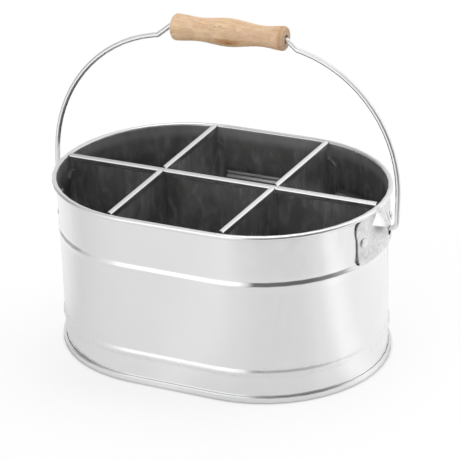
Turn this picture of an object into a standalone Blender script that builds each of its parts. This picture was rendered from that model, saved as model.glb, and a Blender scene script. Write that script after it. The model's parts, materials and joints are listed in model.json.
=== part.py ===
"""Oval galvanised steel bar caddy: a beaded wall band with a curled rim, a seamed-on base pan,
an egg-crate of three hemmed dividers, two riveted ears and a wire bail with a turned wooden grip.

Metres, +Z up. The origin is on the table, under the middle of the body. X runs along the body.
"""

import math

import bmesh
import bpy
from mathutils import Matrix, Vector

MM = 0.001

# Body band, measured on the outside face of the wall
BODY_LENGTH = 278 * MM
BODY_WIDTH = 200 * MM
BODY_HEIGHT = 147 * MM
WALL_GAUGE = 0.6 * MM
FIT_GAP = 0.3 * MM
END_STEPS = 22

# Curled rim: a hollow roll that stands outside the wall
CURL_RADIUS = 1.9 * MM
CURL_SWEEP = math.radians(290)
CURL_STEPS = 10

# Two rolled beads round the wall
MID_BEAD_DROP = 44.5 * MM
LOW_BEAD_HEIGHT = 25.9 * MM
BEAD_HALF_HEIGHT = 4.1 * MM
BEAD_DEPTH = 1.4 * MM
BEAD_STEPS = 6

# Base pan and the double seam that locks it to the wall
BASE_GAUGE = 0.5 * MM
FLOOR_HEIGHT = 5.3 * MM
SEAM_HEIGHT = 5 * MM
SEAM_HOOK_OVERLAP = 2.3 * MM
FLOOR_CORNER_RADIUS = 1.2 * MM
CORNER_STEPS = 3

# Lap where the two ends of the band are welded, at the left end
LAP_WIDTH = 11 * MM
LAP_STEP = 0.45 * MM
LAP_BITE = 0.35 * MM
LAP_FOOT_RISE = 2.5 * MM
LAP_TOP_DROP = 6.5 * MM
LAP_STEPS = 3

# Dividers. The middles of the cross ones' hems stand past the ends of the body's straight sides,
# and the skew turns the right one's back end outwards.
DIVIDER_GAUGE = 0.6 * MM
LONG_DIVIDER_PLACE = -3.4 * MM
LEFT_DIVIDER_PAST = 12.9 * MM
RIGHT_DIVIDER_PAST = 9.5 * MM
RIGHT_DIVIDER_SKEW = math.radians(2)
HEM_RISE = 0.45 * MM
HEM_RADIUS = 2.15 * MM
HEM_FLAP = 3 * MM
HEM_STEPS = 8
FLANGE_WIDTH = 7 * MM
FLANGE_TOP_DROP = 13 * MM
FLANGE_TIP_DROP = 5 * MM
FLANGE_RELIEF = 1.2 * MM
HEM_END_DEPTH = 2.4 * MM
FLANGE_BEND_RADIUS = 1.6 * MM
FLANGE_STEPS = 4
NOTCH_CLEARANCE = 0.7 * MM
ROLL_CUT_BACK = 0.9 * MM
RIGHT_ROLL_CUT_BACK = 1.3 * MM
REACH_HALVINGS = 40

# Bail wire, seen in its own plane: X across, R up from the hinge. Its level seat carries the grip.
WIRE_RADIUS = 2.1 * MM
BAIL_LEAN = math.radians(6.15)
PIVOT_DROP = 22 * MM
HOOK_WALL_CLEARANCE = 0.8 * MM
HOOK_BEND_RADIUS = 3.2 * MM
HOOK_REACH = 1.1 * MM
HOOK_LEG = 5 * MM
ELBOW_RADIUS = 5.4 * MM
BAIL_LEG = 25.6 * MM
LEFT_LEG_CUT = 3.1 * MM
BAIL_ARCH_RADIUS = 111.05 * MM
SEAT_LIFT = 5.05 * MM
SEAT_PLACE = 3.65 * MM
SEAT_PLAY = 3.9 * MM
RAMP_RUN = 8.8 * MM
RAMP_BEND_RADIUS = 4.5 * MM
ARCH_STEPS = 16
BEND_STEPS = 4
WIRE_SIDE_RESOLUTION = 3

# Turned grip, which hangs a little askew on the wire, slid to the right of its seat
GRIP_LENGTH = 98 * MM
GRIP_RADIUS = 11.5 * MM
GRIP_EDGE_RADIUS = 2.2 * MM
GRIP_BORE_CLEARANCE = 1.4 * MM
GRIP_SLIDE = 1.35 * MM
GRIP_TILT = math.radians(1)
GRIP_PROFILE_STEPS = 24
GRIP_SIDES = 20
# Its swells and waists: place along as a share of half the length, radius as a share of the belly's
GRIP_SWELL_SHARES = ((-0.95, 0.95), (-0.54, 0.83), (-0.03, 1), (0.6, 0.73), (0.95, 0.855))

# Ears
EAR_GAUGE = 1.1 * MM
EAR_HALF_WIDTH = 34.9 * MM
EAR_SHOULDER_WIDTH = 1.5 * MM
EAR_SHOULDER_DROP = 19 * MM
EAR_SHOULDER_HEIGHT = 10 * MM
EAR_CORNER_WIDTH = 5.2 * MM
EAR_CORNER_HEIGHT = 8.5 * MM
EAR_FOOT_RADIUS = 3 * MM
EAR_FOOT_ABOVE_BEAD = 1.8 * MM
EAR_RIM_CLEARANCE = 0.6 * MM
EAR_STANDOFF_HEIGHT = 12 * MM
NOSE_HALF_WIDTH = 16.3 * MM
NOSE_TOP_DROP = 0.3 * MM
NOSE_FLAT_ABOVE = 2 * MM
NOSE_FLAT_BELOW = 4 * MM
NOSE_SQUARENESS = 3.5
NOSE_CREST_SHARE = 0.13
NOSE_SOFT_SHARE = 0.25
EYE_SIDE_CLEARANCE = 0.6 * MM
EYE_DROP = 3.2 * MM
EYE_STEPS = 7
EAR_COLUMNS = 18
EAR_ROWS = 15
EAR_COLUMN_EASE = 0.35
EAR_ROW_EASE = 0.5

# Rivets: domed head outside the ear, upset head inside the wall
RIVET_PLACE = 27.7 * MM
RIVET_ABOVE_EAR_FOOT = 17.8 * MM
RIVET_SHANK_RADIUS = 2 * MM
RIVET_HEAD_RADIUS = 4.1 * MM
RIVET_HEAD_HEIGHT = 1.8 * MM
RIVET_TAIL_RADIUS = 3.5 * MM
RIVET_TAIL_HEIGHT = 1 * MM
RIVET_STEPS = 3
RIVET_SIDES = 12

CUT_OVERRUN = 5 * MM
MERGE_DISTANCE = 0.01 * MM

# Sizes that follow from those above
END_RADIUS = BODY_WIDTH / 2
STRAIGHT_HALF = (BODY_LENGTH - BODY_WIDTH) / 2
WALL_END = BODY_LENGTH / 2
FACET_SAG = END_RADIUS * (1 - math.cos(math.pi / 2 / END_STEPS))
CURL_CENTRE_HEIGHT = BODY_HEIGHT - CURL_RADIUS - WALL_GAUGE / 2
CURL_FOOT = CURL_CENTRE_HEIGHT - CURL_RADIUS - WALL_GAUGE / 2
MID_BEAD_HEIGHT = BODY_HEIGHT - MID_BEAD_DROP
PIVOT_HEIGHT = BODY_HEIGHT - PIVOT_DROP
FLOOR_MIDDLE = FLOOR_HEIGHT - BASE_GAUGE / 2
HEM_TOP = BODY_HEIGHT + HEM_RISE
HEM_CENTRE_HEIGHT = HEM_TOP - HEM_RADIUS - DIVIDER_GAUGE / 2
HEM_OUTER_RADIUS = HEM_RADIUS + DIVIDER_GAUGE / 2
HEM_FOOT = HEM_CENTRE_HEIGHT - HEM_FLAP
DIVIDER_FOOT = FLOOR_HEIGHT + FIT_GAP
INTERLOCK_HEIGHT = (DIVIDER_FOOT + HEM_TOP) / 2
WALL_INSIDE = -WALL_GAUGE
SEAT_INSIDE = WALL_INSIDE - FACET_SAG - FIT_GAP
EAR_INSIDE = FIT_GAP
EAR_MIDDLE = EAR_INSIDE + EAR_GAUGE / 2
EAR_OUTSIDE = EAR_INSIDE + EAR_GAUGE
EAR_TOP = CURL_FOOT - EAR_RIM_CLEARANCE
EAR_FOOT = MID_BEAD_HEIGHT + EAR_FOOT_ABOVE_BEAD
EAR_FOOT_TURN = math.pi * EAR_FOOT_ABOVE_BEAD / BEAD_HALF_HEIGHT
EAR_STANDOFF = BEAD_DEPTH * (1 + math.cos(EAR_FOOT_TURN)) / 2 + LAP_STEP
HOOK_INNER = WALL_END + HOOK_WALL_CLEARANCE + WIRE_RADIUS
NOSE_INSIDE = HOOK_INNER + HOOK_BEND_RADIUS + HOOK_REACH
NOSE_DEPTH = NOSE_INSIDE - WALL_END - EAR_INSIDE
HOOK_OUTER = NOSE_INSIDE + EAR_GAUGE + FIT_GAP + ELBOW_RADIUS
ARCH_CENTRE = HOOK_OUTER - BAIL_ARCH_RADIUS
SEAT_RISE = BAIL_LEG + BAIL_ARCH_RADIUS + SEAT_LIFT
SEAT_HALF = (GRIP_LENGTH + SEAT_PLAY) / 2
RIVET_HEIGHT = EAR_FOOT + RIVET_ABOVE_EAR_FOOT


def clear_scene():
    for obj in list(bpy.data.objects):
        bpy.data.objects.remove(obj)


def make_collection(name):
    collection = bpy.data.collections.new(name)
    bpy.context.scene.collection.children.link(collection)
    return collection


def make_material(name, colour, roughness, metallic):
    material = bpy.data.materials.new(name)
    material.use_nodes = True
    shader = material.node_tree.nodes["Principled BSDF"]
    shader.inputs["Base Color"].default_value = (*colour, 1)
    shader.inputs["Roughness"].default_value = roughness
    shader.inputs["Metallic"].default_value = metallic
    return material


def add_object(name, data, collection, material=None):
    obj = bpy.data.objects.new(name, data)
    collection.objects.link(obj)
    if material:
        data.materials.append(material)
    return obj


def add_cutter(name, mesh):
    cutter = add_object(name, mesh, bpy.data.collections["cutters"])
    cutter.hide_render = True
    cutter.display_type = "WIRE"
    return cutter


def cut(obj, cutter, operation="DIFFERENCE"):
    modifier = obj.modifiers.new(cutter.name, "BOOLEAN")
    modifier.object = cutter
    modifier.operation = operation
    modifier.solver = "EXACT"


def solidify(obj, gauge):
    modifier = obj.modifiers.new("gauge", "SOLIDIFY")
    modifier.thickness = gauge
    modifier.offset = 0
    modifier.use_even_offset = True
    modifier.use_quality_normals = True


def shade(obj, angle=math.radians(32)):
    obj.data.shade_smooth()
    obj.data.set_sharp_from_angle(angle=angle)


def mesh_from(bm, name):
    bmesh.ops.recalc_face_normals(bm, faces=bm.faces)
    mesh = bpy.data.meshes.new(name)
    bm.to_mesh(mesh)
    bm.free()
    return mesh


def arc(centre, radius, start, end, steps):
    """Points on a circle in a plane, both ends included."""
    turns = [start + (end - start) * i / steps for i in range(steps + 1)]
    return [(centre[0] + radius * math.cos(t), centre[1] + radius * math.sin(t)) for t in turns]


def rounded(corners, steps):
    """A polyline through (x, y, bend radius) corners, each bend an arc."""
    path = [corners[0][:2]]
    for before, corner, after in zip(corners, corners[1:], corners[2:]):
        point = Vector(corner[:2])
        back = (Vector(before[:2]) - point).normalized()
        ahead = (Vector(after[:2]) - point).normalized()
        half = back.angle(ahead) / 2
        centre = point + (back + ahead).normalized() * corner[2] / math.sin(half)
        start = point + back * corner[2] / math.tan(half) - centre
        turn = (math.pi - 2 * half) * (1 if back.cross(ahead) < 0 else -1)
        first = math.atan2(start.y, start.x)
        path += arc(centre, corner[2], first, first + turn, steps)
    return path + [corners[-1][:2]]


def body_outline(offset):
    """The oval in plan, anticlockwise, at an offset outwards from the wall's outside face."""
    radius = END_RADIUS + offset
    right = arc((STRAIGHT_HALF, 0), radius, -math.pi / 2, math.pi / 2, END_STEPS)
    left = arc((-STRAIGHT_HALF, 0), radius, math.pi / 2, 3 * math.pi / 2, END_STEPS)
    return right + left


def reach(frame, across, sign, offset):
    """How far a line along a divider runs to the oval at an offset from the wall's outside."""
    near, far = 0, BODY_LENGTH
    for _ in range(REACH_HALVINGS):
        middle = (near + far) / 2
        point = frame @ Vector((sign * middle, across, 0))
        past_straight = max(0, abs(point.x) - STRAIGHT_HALF)
        if math.hypot(past_straight, point.y) < END_RADIUS + offset:
            near = middle
        else:
            far = middle
    return near


def poly_curve(name, points, cyclic, dimensions="2D"):
    curve = bpy.data.curves.new(name, "CURVE")
    curve.dimensions = dimensions
    curve.fill_mode = "NONE" if dimensions == "2D" else "FULL"
    spline = curve.splines.new("POLY")
    spline.points.add(len(points) - 1)
    for place, point in zip(spline.points, points):
        place.co = (*point, *[0] * (3 - len(point)), 1)
    spline.use_cyclic_u = cyclic
    return curve


def sweep(name, path, profile, cyclic):
    """The surface that a profile of (outward, height) points leaves along an anticlockwise path."""
    rail = bpy.data.objects.new(name + "_rail", poly_curve(name + "_rail", path, cyclic, "3D"))
    rail.data.twist_mode = "Z_UP"
    section = bpy.data.objects.new(name + "_section", poly_curve(name + "_section", profile, False))
    for guide in (rail, section):
        bpy.context.scene.collection.objects.link(guide)
    rail.data.bevel_mode = "OBJECT"
    rail.data.bevel_object = section
    bpy.context.view_layer.update()
    graph = bpy.context.evaluated_depsgraph_get()
    mesh = bpy.data.meshes.new_from_object(rail.evaluated_get(graph))
    for guide in (rail, section):
        bpy.data.objects.remove(guide)
    bm = bmesh.new()
    bm.from_mesh(mesh)
    bpy.data.meshes.remove(mesh)
    bmesh.ops.remove_doubles(bm, verts=bm.verts, dist=MERGE_DISTANCE)
    return bm


def bead(height, middle):
    """A rolled bead in the wall: a bump of cosine shape, listed upwards."""
    turns = [-math.pi + 2 * math.pi * i / BEAD_STEPS for i in range(BEAD_STEPS + 1)]
    return [
        (middle + BEAD_DEPTH * (1 + math.cos(t)) / 2, height + BEAD_HALF_HEIGHT * t / math.pi)
        for t in turns
    ]


def wall_profile():
    """The band's middle surface, from the seam hook up to the end of the curl."""
    middle = -WALL_GAUGE / 2
    hook = FIT_GAP * 2 + BASE_GAUGE + WALL_GAUGE / 2
    fold = BASE_GAUGE + FIT_GAP + WALL_GAUGE / 2
    hook_top = SEAM_HEIGHT - BASE_GAUGE - FIT_GAP
    curl_centre = (middle + CURL_RADIUS, CURL_CENTRE_HEIGHT)
    curl = arc(curl_centre, CURL_RADIUS, math.pi, math.pi - CURL_SWEEP, CURL_STEPS)
    beads = bead(LOW_BEAD_HEIGHT, middle) + bead(MID_BEAD_HEIGHT, middle)
    return [(hook, hook_top), (hook, fold), (middle, fold)] + beads + curl


def base_profile():
    """The pan's middle surface, from the floor's edge down the wall, round and into the seam."""
    half = BASE_GAUGE / 2
    leg = WALL_INSIDE - FIT_GAP - half
    outside = 3 * FIT_GAP + BASE_GAUGE + WALL_GAUGE + half
    cover_hook = FIT_GAP + half
    hook_foot = SEAM_HEIGHT - BASE_GAUGE - SEAM_HOOK_OVERLAP
    corner = FLOOR_CORNER_RADIUS
    floor_edge = leg - 2 * corner
    corners = [(floor_edge, FLOOR_MIDDLE, 0), (leg, FLOOR_MIDDLE, corner), (leg, half, 0)]
    return rounded(corners, CORNER_STEPS) + [
        (outside, half),
        (outside, SEAM_HEIGHT - half),
        (cover_hook, SEAM_HEIGHT - half),
        (cover_hook, hook_foot),
    ]


def rivet_frames():
    """(name, matrix) of each rivet: local Z is the wall's outward normal, origin on its outside."""
    frames = []
    for side, end in (("right", 0), ("left", math.pi)):
        for place, sign in (("front", -1), ("back", 1)):
            turn = sign * RIVET_PLACE / END_RADIUS * math.cos(end)
            around = Matrix.Translation((STRAIGHT_HALF * math.cos(end), 0, RIVET_HEIGHT))
            outward = Matrix.Rotation(end + turn, 4, "Z") @ Matrix.Translation((END_RADIUS, 0, 0))
            upright = Matrix.Rotation(math.pi / 2, 4, "Y")
            frames.append((f"rivet_{side}_{place}", around @ outward @ upright))
    return frames


def hole_cutters():
    """Cylinders through ear and wall at each rivet."""
    bm = bmesh.new()
    radius = RIVET_SHANK_RADIUS + FIT_GAP
    size = {"segments": RIVET_SIDES, "radius1": radius, "radius2": radius, "depth": 2 * CUT_OVERRUN}
    for _, frame in rivet_frames():
        bmesh.ops.create_cone(bm, cap_ends=True, matrix=frame, **size)
    return add_cutter("rivet_holes", mesh_from(bm, "rivet_holes"))


def lap_mesh():
    """The outer layer of the band's welded lap, a strip over the beads that ends under the ear."""
    top = CURL_FOOT - LAP_TOP_DROP
    foot = SEAM_HEIGHT + LAP_FOOT_RISE
    middle = (LAP_STEP - LAP_BITE) / 2
    beads = bead(LOW_BEAD_HEIGHT, middle) + bead(MID_BEAD_HEIGHT, middle)
    half_turn = LAP_WIDTH / END_RADIUS / 2
    path = arc((-STRAIGHT_HALF, 0), END_RADIUS, math.pi - half_turn, math.pi + half_turn, LAP_STEPS)
    return mesh_from(sweep("lap", path, [(middle, foot)] + beads + [(middle, top)], False), "lap")


def build_wall(parts, steel, holes):
    band = mesh_from(sweep("wall", body_outline(0), wall_profile(), True), "wall_band")
    wall = add_object("wall_band", band, parts, steel)
    solidify(wall, WALL_GAUGE)
    lap = add_cutter("lap", lap_mesh())
    solidify(lap, LAP_STEP + LAP_BITE)
    cut(wall, lap, "UNION")
    cut(wall, holes)
    shade(wall)


def build_base(parts, steel):
    bm = sweep("base", body_outline(0), base_profile(), True)
    edge = [v for v in bm.verts if v.is_boundary and v.co.z > SEAM_HEIGHT]
    edge.sort(key=lambda v: math.atan2(v.co.y, v.co.x))
    bm.faces.new(edge)
    base = add_object("base_pan", mesh_from(bm, "base_pan"), parts, steel)
    solidify(base, BASE_GAUGE)
    shade(base)


def divider_sheet(name, left, right, hem_ends):
    """A hemmed sheet along X, its sheet at across = HEM_RADIUS and its hem folded over to the front.

    left and right list each end flange in plan as (along, across, top height), from tip to bend
    and from bend to tip. Between them the sheet stands full height. Above the flanges its edge
    slants out to hem_ends.
    """
    bm = bmesh.new()
    relief = left[-1][2] + FLANGE_RELIEF
    heads = []
    for plan in (left, right):
        feet = [bm.verts.new((x, y, DIVIDER_FOOT)) for x, y, _ in plan]
        tops = [bm.verts.new(point) for point in plan]
        for i in range(len(plan) - 1):
            bm.faces.new((feet[i], feet[i + 1], tops[i + 1], tops[i]))
        heads.append(list(zip(feet, tops)))
    (left_foot, left_head), (right_foot, right_head) = heads[0][-1], heads[1][0]
    bm.faces.new((left_foot, right_foot, right_head, left_head))
    ends = (hem_ends[0], left[-1][0], right[0][0], hem_ends[1])
    wall_end = HEM_CENTRE_HEIGHT - HEM_END_DEPTH
    reliefs = (wall_end, relief, relief, wall_end)
    lower = [bm.verts.new((x, HEM_RADIUS, z)) for x, z in zip(ends, reliefs)]
    upper = [bm.verts.new((x, HEM_RADIUS, HEM_CENTRE_HEIGHT)) for x in ends]
    bm.faces.new((left_head, right_head, lower[2], lower[1]))
    for i in range(len(ends) - 1):
        bm.faces.new((lower[i], lower[i + 1], upper[i + 1], upper[i]))
    edges = [bm.edges.get(pair) for pair in zip(upper, upper[1:])]
    hem = arc((0, HEM_CENTRE_HEIGHT), HEM_RADIUS, 0, math.pi, HEM_STEPS) + [(-HEM_RADIUS, HEM_FOOT)]
    for across, height in hem[1:]:
        raised = bmesh.ops.extrude_edge_only(bm, edges=edges)["geom"]
        edges = [e for e in raised if isinstance(e, bmesh.types.BMEdge)]
        for vert in {v for e in edges for v in e.verts}:
            vert.co.y, vert.co.z = across, height
    return mesh_from(bm, name)


def flange(corner, tip, sign):
    """One end flange in plan: (along, across, top height), its tip first where sign is negative.

    corner is the point that the bend rounds off; tip is the flange's far end.
    """
    top = HEM_CENTRE_HEIGHT - FLANGE_TOP_DROP
    path = rounded([(*tip, 0), (*corner, FLANGE_BEND_RADIUS), (0, HEM_RADIUS, 0)], FLANGE_STEPS)[:-1]
    tops = [top - FLANGE_TIP_DROP] + [top] * (FLANGE_STEPS + 1)
    ordered = [(x, y, height) for (x, y), height in zip(path, tops)]
    return ordered if sign < 0 else ordered[::-1]


def across_body(place, skew):
    """The frame of a divider across the body, mirrored so that its hem's open side faces -X."""
    turn = Matrix.Rotation(math.pi / 2 - skew, 4, "Z")
    return Matrix.Translation((place, 0, 0)) @ turn @ Matrix.Diagonal((1, -1, 1, 1))


def build_divider(parts, steel, name, frame, cut_back=0):
    """A divider that fills its line across the oval; cut_back shortens its roll at the first end."""
    middle = SEAT_INSIDE - DIVIDER_GAUGE / 2
    flanges = []
    hem_ends = []
    for sign in (-1, 1):
        tip_across = HEM_RADIUS + sign * FLANGE_WIDTH
        corner = (sign * reach(frame, HEM_RADIUS, sign, middle), HEM_RADIUS)
        tip = (sign * reach(frame, tip_across, sign, middle), tip_across)
        flanges.append(flange(corner, tip, sign))
        sides = (HEM_OUTER_RADIUS, -HEM_OUTER_RADIUS)
        hem_ends.append(sign * min(reach(frame, side, sign, SEAT_INSIDE) for side in sides))
    hem_ends[0] += cut_back
    mesh = divider_sheet(name, *flanges, hem_ends)
    mesh.transform(frame)
    if frame.determinant() < 0:
        mesh.flip_normals()
    divider = add_object(name, mesh, parts, steel)
    solidify(divider, DIVIDER_GAUGE)
    return divider


def box_cutter(name, boxes):
    """One cutter of separate boxes, each a matrix that stretches a unit cube."""
    bm = bmesh.new()
    for box in boxes:
        bmesh.ops.create_cube(bm, size=1, matrix=box)
    return add_cutter(name, mesh_from(bm, name))


def build_dividers(parts, steel):
    """An egg crate: the cross dividers, slotted from above, and the long one, slotted from below."""
    left = across_body(-STRAIGHT_HALF - LEFT_DIVIDER_PAST, 0)
    right = across_body(STRAIGHT_HALF + RIGHT_DIVIDER_PAST, RIGHT_DIVIDER_SKEW)
    crosses = {
        "cross_divider_left": (left, 0),
        "cross_divider_right": (right, RIGHT_ROLL_CUT_BACK),
    }
    slot_width = DIVIDER_GAUGE + 2 * FIT_GAP
    long_sheet = LONG_DIVIDER_PLACE + HEM_RADIUS
    slots = [
        frame
        @ Matrix.Translation((long_sheet, HEM_RADIUS, INTERLOCK_HEIGHT / 2))
        @ Matrix.Diagonal((2 * CUT_OVERRUN, slot_width, INTERLOCK_HEIGHT + FIT_GAP, 1))
        for frame, _ in crosses.values()
    ]
    long_frame = Matrix.Translation((0, LONG_DIVIDER_PLACE, 0))
    long_divider = build_divider(parts, steel, "long_divider", long_frame)
    cut(long_divider, box_cutter("long_divider_slots", slots))
    shade(long_divider)
    for name, (frame, cut_back) in crosses.items():
        divider = build_divider(parts, steel, name, frame, cut_back)
        for kind, box in crossing_boxes(frame).items():
            cut(divider, box_cutter(f"{name}_{kind}", [box]))
        shade(divider)


def crossing_boxes(frame):
    """What a cross divider loses to the long one: a slot for its sheet, a notch for its hem."""
    crossing = (frame @ Vector((LONG_DIVIDER_PLACE, HEM_RADIUS, 0))).x
    side = CUT_OVERRUN + 2 * HEM_RADIUS
    half_slot = DIVIDER_GAUGE / 2 + FIT_GAP
    half_notch = HEM_OUTER_RADIUS + FIT_GAP
    slot_foot = INTERLOCK_HEIGHT - FIT_GAP / 2
    notch_foot = HEM_FOOT - NOTCH_CLEARANCE
    sheet = LONG_DIVIDER_PLACE + HEM_RADIUS
    hem = LONG_DIVIDER_PLACE
    extents = {
        "slot": (side, sheet - half_slot, sheet + half_slot, slot_foot),
        "notch": (side, hem - half_notch, hem + half_notch, notch_foot),
        "roll_end": (-HEM_RADIUS / 2, hem, hem + half_notch + ROLL_CUT_BACK, notch_foot),
    }
    boxes = {}
    top = HEM_TOP + CUT_OVERRUN
    for kind, (right, near, far, foot) in extents.items():
        centre = (crossing + (right - side) / 2, (near + far) / 2, (foot + top) / 2)
        size = (right + side, far - near, top - foot, 1)
        boxes[kind] = Matrix.Translation(centre) @ Matrix.Diagonal(size)
    return boxes


def nose(across, height):
    """How far the ear's nose stands out: a cone with a squarish foot and an upright crest."""
    crest_top = PIVOT_HEIGHT + NOSE_FLAT_ABOVE
    crest_foot = PIVOT_HEIGHT - NOSE_FLAT_BELOW
    above = max(0, height - crest_top) / (EAR_TOP - NOSE_TOP_DROP - crest_top)
    below = max(0, crest_foot - height) / (crest_foot - EAR_FOOT)
    sides = (abs(across) / NOSE_HALF_WIDTH, above, below)
    spread = sum(side**NOSE_SQUARENESS for side in sides) ** (1 / NOSE_SQUARENESS)
    fall = min(1, max(0, (spread - NOSE_CREST_SHARE) / (1 - NOSE_CREST_SHARE)))
    soft = fall * fall * (3 - 2 * fall)
    return NOSE_DEPTH * (1 - fall + (fall - soft) * NOSE_SOFT_SHARE)


def standoff(height):
    """How far the ear's foot bends out to clear the flank of the wall's bead."""
    rise = min(1, (height - EAR_FOOT) / EAR_STANDOFF_HEIGHT)
    return EAR_STANDOFF * (1 + math.cos(math.pi * rise)) / 2


def ear_half_width(height):
    """Half the ear's width round the wall: rounded top corners, wide shoulders, small foot corners."""
    up = height - EAR_FOOT
    down = EAR_TOP - height
    rise = min(1, max(0, EAR_SHOULDER_DROP - down) / EAR_SHOULDER_HEIGHT)
    width = EAR_HALF_WIDTH + EAR_SHOULDER_WIDTH * (1 - math.cos(math.pi * rise)) / 2
    corner = max(0, 1 - down / EAR_CORNER_HEIGHT)
    foot = max(0, 1 - up / EAR_FOOT_RADIUS)
    width -= EAR_CORNER_WIDTH * (1 - math.sqrt(1 - corner**2))
    return width - EAR_FOOT_RADIUS * (1 - math.sqrt(1 - foot**2))


def build_ears(parts, steel, holes):
    bm = bmesh.new()
    bmesh.ops.create_grid(bm, x_segments=EAR_COLUMNS, y_segments=EAR_ROWS, size=1)
    for vert in bm.verts:
        column = vert.co.x * (1 - EAR_COLUMN_EASE * (1 - vert.co.x**2))
        eased = math.sin(vert.co.y * math.pi / 2)
        row = (1 + vert.co.y + (eased - vert.co.y) * EAR_ROW_EASE) / 2
        height = EAR_FOOT + (EAR_TOP - EAR_FOOT) * row
        across = column * ear_half_width(height)
        reach = END_RADIUS + EAR_MIDDLE + max(nose(across, height), standoff(height))
        turn = across / END_RADIUS
        vert.co = (STRAIGHT_HALF + reach * math.cos(turn), reach * math.sin(turn), height)
    mesh = mesh_from(bm, "ear")
    radius = WIRE_RADIUS + EYE_SIDE_CLEARANCE
    upper = arc((0, PIVOT_HEIGHT), radius, 0, math.pi, EYE_STEPS)
    lower = arc((0, PIVOT_HEIGHT - EYE_DROP), radius, math.pi, 2 * math.pi, EYE_STEPS)
    eye_bm = bmesh.new()
    outline = [eye_bm.verts.new((NOSE_INSIDE - CUT_OVERRUN, y, z)) for y, z in upper + lower]
    rim = eye_bm.faces.new(outline)
    raised = bmesh.ops.extrude_face_region(eye_bm, geom=[rim])["geom"]
    moved = [v for v in raised if isinstance(v, bmesh.types.BMVert)]
    bmesh.ops.translate(eye_bm, verts=moved, vec=Vector((2 * CUT_OVERRUN, 0, 0)))
    eye = add_cutter("eye", mesh_from(eye_bm, "eye"))
    for name, turn in (("ear_right", 0), ("ear_left", math.pi)):
        ear = add_object(name, mesh if turn == 0 else mesh.copy(), parts, steel if turn == 0 else None)
        ear.rotation_euler.z = turn
        solidify(ear, EAR_GAUGE)
        cutter = eye if turn == 0 else add_cutter("eye_left", eye.data.copy())
        cutter.rotation_euler.z = turn
        cut(ear, cutter)
        cut(ear, holes)
        shade(ear)


def build_rivets(parts, steel):
    """One turned rivet, set four times. Its profile runs from the dome's top down to the tail."""
    head_seat = EAR_OUTSIDE + FIT_GAP
    tail_seat = SEAT_INSIDE
    dome = arc((0, 0), 1, math.pi / 2, 0, RIVET_STEPS)
    profile = [(RIVET_HEAD_RADIUS * x, head_seat + RIVET_HEAD_HEIGHT * y) for x, y in dome]
    profile += [(RIVET_SHANK_RADIUS, head_seat), (RIVET_SHANK_RADIUS, tail_seat)]
    profile += [(RIVET_TAIL_RADIUS, tail_seat), (RIVET_TAIL_RADIUS, tail_seat - RIVET_TAIL_HEIGHT / 2)]
    tail_end = tail_seat - RIVET_TAIL_HEIGHT
    profile += [(RIVET_TAIL_RADIUS / 2, tail_end), (0, tail_end)]
    for name, frame in rivet_frames():
        rivet = turned(name, profile, RIVET_SIDES, parts, steel)
        rivet.matrix_world = frame


def turned(name, profile, sides, parts, material, cyclic=False):
    """A solid of revolution about local Z from (radius, height) points."""
    bm = bmesh.new()
    verts = [bm.verts.new((x, 0, z)) for x, z in profile]
    for pair in zip(verts, verts[1:] + (verts[:1] if cyclic else [])):
        bm.edges.new(pair)
    mesh = bpy.data.meshes.new(name)
    bm.to_mesh(mesh)
    bm.free()
    obj = add_object(name, mesh, parts, material)
    screw = obj.modifiers.new("turn", "SCREW")
    screw.axis = "Z"
    screw.steps = screw.render_steps = sides
    screw.use_merge_vertices = True
    screw.merge_threshold = MERGE_DISTANCE
    screw.use_smooth_shade = True
    return obj


def bail_side(side, leg_cut):
    """Half the wire's middle line as (out from the middle, up from the hinge), hook to seat.

    side is 1 for the right half and -1 for the left. A shorter leg makes for a longer ramp.
    """
    arch_centre = (ARCH_CENTRE, BAIL_LEG - leg_cut)
    seat_middle = side * SEAT_PLACE
    seat_end = seat_middle + SEAT_HALF
    knee_turn = math.acos((seat_end + RAMP_RUN + leg_cut - ARCH_CENTRE) / BAIL_ARCH_RADIUS)
    arch_turn = knee_turn - RAMP_BEND_RADIUS / BAIL_ARCH_RADIUS
    arch = arc(arch_centre, BAIL_ARCH_RADIUS, 0, arch_turn, ARCH_STEPS)
    knee = arc(arch_centre, BAIL_ARCH_RADIUS, arch_turn, knee_turn, 1)[1]
    hook = [
        (HOOK_INNER, HOOK_LEG, 0),
        (HOOK_INNER, 0, HOOK_BEND_RADIUS),
        (HOOK_OUTER, 0, ELBOW_RADIUS),
        (*arch[0], 0),
    ]
    ramp = [
        (*arch[-1], 0),
        (*knee, RAMP_BEND_RADIUS),
        (seat_end, SEAT_RISE, RAMP_BEND_RADIUS),
        (seat_middle, SEAT_RISE, 0),
    ]
    return rounded(hook, BEND_STEPS) + arch[1:-1] + rounded(ramp, BEND_STEPS)


def build_bail(parts, steel):
    right = bail_side(1, 0)
    left = bail_side(-1, LEFT_LEG_CUT)
    path = [(x, 0, r) for x, r in right] + [(-x, 0, r) for x, r in left[-2::-1]]
    curve = poly_curve("bail_wire", path, False, "3D")
    curve.bevel_depth = WIRE_RADIUS
    curve.bevel_resolution = WIRE_SIDE_RESOLUTION
    curve.use_fill_caps = True
    return add_object("bail_wire", curve, parts, steel)


def swell_share(place):
    """The grip's radius at a place along it, as a share of the belly's."""
    ends = GRIP_SWELL_SHARES
    place = min(ends[-1][0], max(ends[0][0], place))
    for (start, first), (stop, last) in zip(ends, ends[1:]):
        if place <= stop:
            turn = math.pi * (place - start) / (stop - start)
            return first + (last - first) * (1 - math.cos(turn)) / 2


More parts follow.
